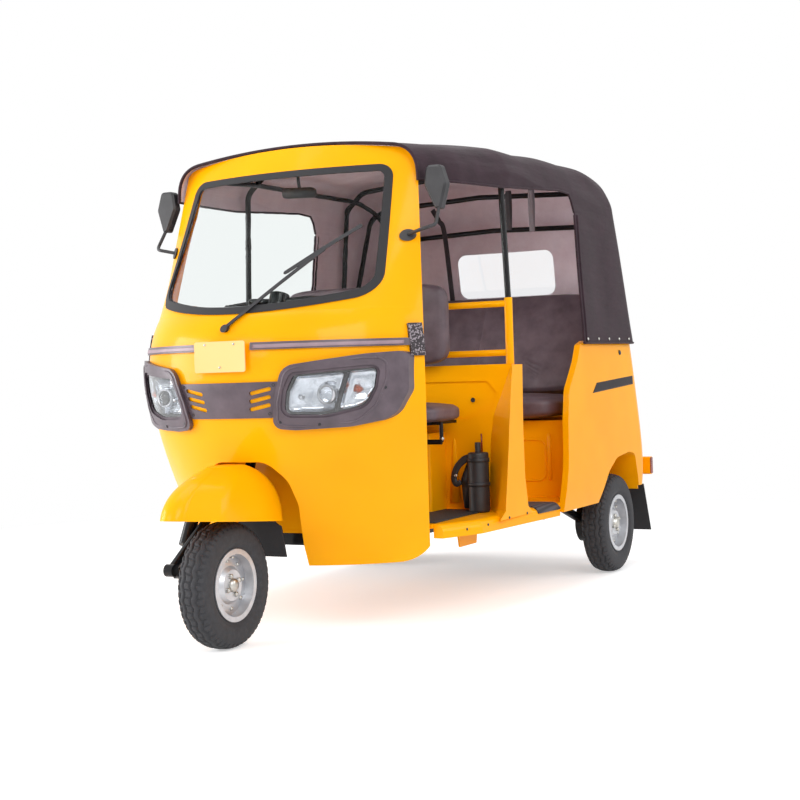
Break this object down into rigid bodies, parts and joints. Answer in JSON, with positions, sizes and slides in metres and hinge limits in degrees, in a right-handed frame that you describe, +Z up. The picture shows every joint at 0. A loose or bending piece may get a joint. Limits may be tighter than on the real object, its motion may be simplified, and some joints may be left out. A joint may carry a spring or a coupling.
{
  "type": "auto rickshaw",
  "caption": "Three-wheeled passenger auto rickshaw with a canvas hood, open sides, handlebar steering and an engine hatch at the rear.",
  "frame": {"origin": "on the ground under the middle of the overall length and width", "axes": "+X to the vehicle's left, +Y to its rear, +Z up; it drives towards -Y"},
  "size_m": [1.3014, 2.7003, 1.7431],
  "materials": {
    "black_plastic": "satin",
    "black_steel": "satin",
    "body_paint": "gloss",
    "clear_vinyl": "gloss",
    "engine_metal": "matte",
    "glass": "gloss",
    "hood_canvas": "matte",
    "lamp_lens": "gloss",
    "rubber": "matte",
    "seat_vinyl": "satin",
    "tail_lens": "gloss",
    "tyre": "matte",
    "wheel_silver": "satin"
  },
  "bodies": {
    "body": {"belt_moulding": "black_plastic", "canister": "black_steel", "chassis_frame": "black_steel", "dash_panel": "black_plastic", "driver_backrest": "seat_vinyl", "driver_seat": "seat_vinyl", "engine_block": "engine_metal", "floor_pan": "body_paint", "front_cowl": "body_paint", "grille_panel": "black_plastic", "headlamp_bezel_left": "black_plastic", "headlamp_bezel_right": "black_plastic", "headlamp_housing_left": "black_plastic", "headlamp_housing_right": "black_plastic", "headlamp_left": "lamp_lens", "headlamp_right": "lamp_lens", "hood_canopy": "hood_canvas", "hood_frame": "black_steel", "mirror_left": "black_plastic", "mirror_right": "black_plastic", "partition_panel": "body_paint", "partition_rails": "body_paint", "passenger_backrest": "seat_vinyl", "passenger_seat": "seat_vinyl", "quarter_panel_left": "body_paint", "quarter_panel_right": "body_paint", "rear_arm_left": "black_steel", "rear_arm_right": "black_steel", "rear_bumper": "body_paint", "rear_mud_flaps": "rubber", "rear_window": "clear_vinyl", "seat_box": "body_paint", "seat_pedestal": "body_paint", "seat_stand": "black_steel", "side_frame_left": "body_paint", "side_frame_right": "body_paint", "silencer": "black_steel", "step_plates": "rubber", "tail_lamps": "tail_lens", "tail_panel": "body_paint", "toe_board": "body_paint", "windscreen_glass": "glass", "windscreen_seal": "rubber", "wiper": "black_plastic"},
    "steering": {"steering_fork": "black_steel", "front_damper": "black_steel", "front_fender": "body_paint", "front_mud_flap": "rubber", "handlebar": "black_steel"},
    "front_wheel": {"front_tyre": "tyre", "front_rim": "wheel_silver"},
    "rear_wheel_left": {"rear_tyre_left": "tyre", "rear_rim_left": "wheel_silver"},
    "rear_wheel_right": {"rear_tyre_right": "tyre", "rear_rim_right": "wheel_silver"},
    "engine_door": {"engine_hatch": "body_paint"}
  },
  "joints": [
    {"name": "steering_turn", "type": "hinge", "parent": "body", "child": "steering", "pos_m": [0, -1.023, 0.205], "axis": [0, 0.3584, 0.9336], "range_deg": [-40, 40]},
    {"name": "front_wheel_spin", "type": "hinge", "parent": "steering", "child": "front_wheel", "pos_m": [0, -1.053, 0.205], "axis": [1, 0, 0], "continuous": true},
    {"name": "rear_wheel_left_spin", "type": "hinge", "parent": "body", "child": "rear_wheel_left", "pos_m": [0.575, 0.937, 0.205], "axis": [1, 0, 0], "continuous": true},
    {"name": "rear_wheel_right_spin", "type": "hinge", "parent": "body", "child": "rear_wheel_right", "pos_m": [-0.575, 0.937, 0.205], "axis": [1, 0, 0], "continuous": true},
    {"name": "engine_door_lift", "type": "hinge", "parent": "body", "child": "engine_door", "pos_m": [0, 1.285, 0.792], "axis": [1, 0, 0], "range_deg": [0, 75]}
  ]
}
